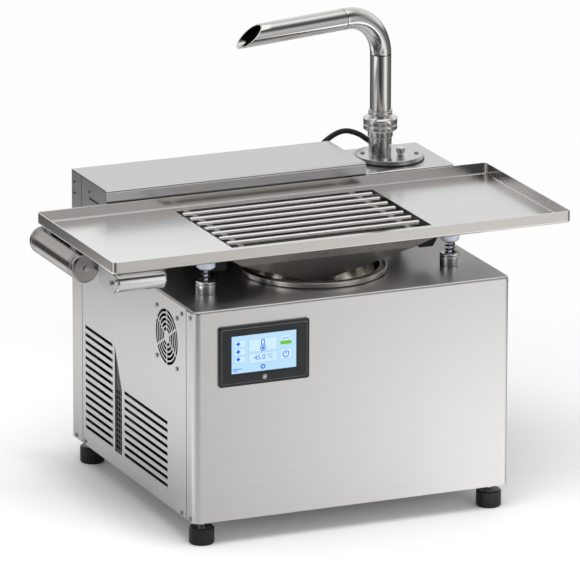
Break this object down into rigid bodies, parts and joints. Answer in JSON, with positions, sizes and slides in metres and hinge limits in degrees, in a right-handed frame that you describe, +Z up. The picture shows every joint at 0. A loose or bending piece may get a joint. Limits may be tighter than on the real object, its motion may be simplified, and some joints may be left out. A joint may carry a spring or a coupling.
{
  "type": "chocolate tempering machine",
  "caption": "Tabletop tempering machine: sheet casing on levelling feet, heated bowl under a sprung vibrating drip tray, auger pump in a tower and a swivelling spout.",
  "frame": {"origin": "centre of the whole machine's footprint, on the floor under its feet", "axes": "+X to the user's right, along the tray's length; +Y from the front with the touch panel to the rear; +Z up"},
  "size_m": [0.692, 0.4704, 0.6383],
  "materials": {
    "mirror_sheet": "polished stainless sheet",
    "brushed_sheet": "fine brushed stainless sheet",
    "polished_steel": "polished stainless steel",
    "frame_steel": "plain steel",
    "screw_steel": "machined steel",
    "heater_metal": "cast aluminium",
    "fin_aluminium": "thin fins",
    "motor_grey": "satin paint",
    "spring_steel": "black spring steel",
    "foot_rubber": "smooth black rubber",
    "gasket_rubber": "black rubber",
    "black_rubber": "black rubber",
    "black_mesh": "black perforated sheet",
    "black_plastic": "fine satin",
    "grey_plastic": "satin",
    "white_plastic": "glossy white",
    "screen_black": "glossy cover glass with a lit display behind"
  },
  "bodies": {
    "casing": {"front_shell": "mirror_sheet", "left_side_panel": "brushed_sheet", "right_side_panel": "brushed_sheet", "vent_mesh": "black_mesh", "rear_shell": "brushed_sheet", "base_pan": "brushed_sheet", "inner_frame": "frame_steel", "tower_cover": "mirror_sheet", "pump_cover": "mirror_sheet", "casing_screws": "screw_steel", "foot_studs": "screw_steel", "bowl_gasket": "gasket_rubber", "bowl": "polished_steel", "bowl_heater": "heater_metal", "stirrer_motor": "motor_grey", "pump_barrel": "polished_steel", "transfer_pipe": "polished_steel", "pump_motor": "motor_grey", "flange_gasket": "gasket_rubber", "pump_flange": "polished_steel", "flange_screws": "screw_steel", "riser_pipe": "polished_steel", "post_cups": "polished_steel", "hmi_bezel": "black_plastic", "hmi_glass": "screen_black", "hmi_housing": "grey_plastic", "fan_frame": "black_plastic", "condenser": "fin_aluminium", "compressor": "motor_grey", "power_inlet": "black_plastic", "lead_glands": "black_plastic", "lead": "black_rubber"},
    "tray": {"tray": "mirror_sheet", "tray_grille": "polished_steel", "drip_funnel": "mirror_sheet", "funnel_hangers": "black_rubber", "tray_pucks": "white_plastic", "tray_springs": "spring_steel", "vibrator_housing": "polished_steel", "vibrator_caps": "polished_steel", "vibrator_saddles": "brushed_sheet", "grip_bracket": "brushed_sheet", "hand_grip": "polished_steel", "tray_bolts": "screw_steel"},
    "spout": {"spout_ferrule": "polished_steel", "spout_tube": "polished_steel", "spout_elbow": "polished_steel", "spout_outlet": "polished_steel"},
    "foot_front_left_body": {"foot_front_left": "foot_rubber"},
    "foot_front_right_body": {"foot_front_right": "foot_rubber"},
    "foot_rear_left_body": {"foot_rear_left": "foot_rubber"},
    "foot_rear_right_body": {"foot_rear_right": "foot_rubber"},
    "stirrer_body": {"stirrer": "polished_steel"},
    "auger_body": {"auger": "polished_steel"},
    "flange_knob_body": {"flange_knob": "polished_steel"},
    "union_nut_body": {"union_nut": "polished_steel"},
    "fan_rotor_body": {"fan_rotor": "black_plastic"},
    "vibrator_shaft_body": {"vibrator_shaft": "frame_steel"},
    "home_button_body": {"home_button": "black_plastic"},
    "power_rocker_body": {"power_rocker": "black_plastic"}
  },
  "joints": [
    {"name": "tray_shake", "type": "slide", "parent": "casing", "child": "tray", "axis": [0, 0, 1], "range_m": [-0.003, 0.003], "stiffness_N_per_m": 60000, "springref_m": 0.0015, "deforming": ["tray_springs"]},
    {"name": "vibrator_spin", "type": "hinge", "parent": "tray", "child": "vibrator_shaft_body", "pos_m": [-0.326, -0.00125, 0.367], "axis": [0, 1, 0], "continuous": true},
    {"name": "spout_swing", "type": "hinge", "parent": "casing", "child": "spout", "pos_m": [0.21, 0.14175, 0.47], "axis": [0, 0, 1], "range_deg": [-45, 75]},
    {"name": "union_turn", "type": "hinge", "parent": "casing", "child": "union_nut_body", "pos_m": [0.21, 0.14175, 0.46], "axis": [0, 0, 1], "continuous": true},
    {"name": "auger_turn", "type": "hinge", "parent": "casing", "child": "auger_body", "pos_m": [0.21, 0.14175, 0.25], "axis": [0, 0, 1], "continuous": true},
    {"name": "stirrer_turn", "type": "hinge", "parent": "casing", "child": "stirrer_body", "pos_m": [0.006, -0.09025, 0.22], "axis": [0, 0, 1], "continuous": true},
    {"name": "fan_spin", "type": "hinge", "parent": "casing", "child": "fan_rotor_body", "pos_m": [-0.214, -0.13375, 0.274], "axis": [1, 0, 0], "continuous": true},
    {"name": "knob_turn", "type": "hinge", "parent": "casing", "child": "flange_knob_body", "pos_m": [0.237, 0.13175, 0.415], "axis": [0, 0, 1], "continuous": true},
    {"name": "button_press", "type": "slide", "parent": "casing", "child": "home_button_body", "axis": [0, 1, 0], "range_m": [0, 0.0008], "stiffness_N_per_m": 900, "springref_m": -0.0003},
    {"name": "rocker_tilt", "type": "hinge", "parent": "casing", "child": "power_rocker_body", "pos_m": [-0.174, 0.21375, 0.15], "axis": [1, 0, 0], "range_deg": [-10, 10]},
    {"name": "foot_turn_front_left", "type": "hinge", "parent": "casing", "child": "foot_front_left_body", "pos_m": [-0.209, -0.20825, 0.012], "axis": [0, 0, 1], "continuous": true},
    {"name": "foot_turn_front_right", "type": "hinge", "parent": "casing", "child": "foot_front_right_body", "pos_m": [0.221, -0.20825, 0.012], "axis": [0, 0, 1], "continuous": true},
    {"name": "foot_turn_rear_left", "type": "hinge", "parent": "casing", "child": "foot_rear_left_body", "pos_m": [-0.209, 0.19275, 0.012], "axis": [0, 0, 1], "continuous": true},
    {"name": "foot_turn_rear_right", "type": "hinge", "parent": "casing", "child": "foot_rear_right_body", "pos_m": [0.221, 0.19275, 0.012], "axis": [0, 0, 1], "continuous": true}
  ]
}
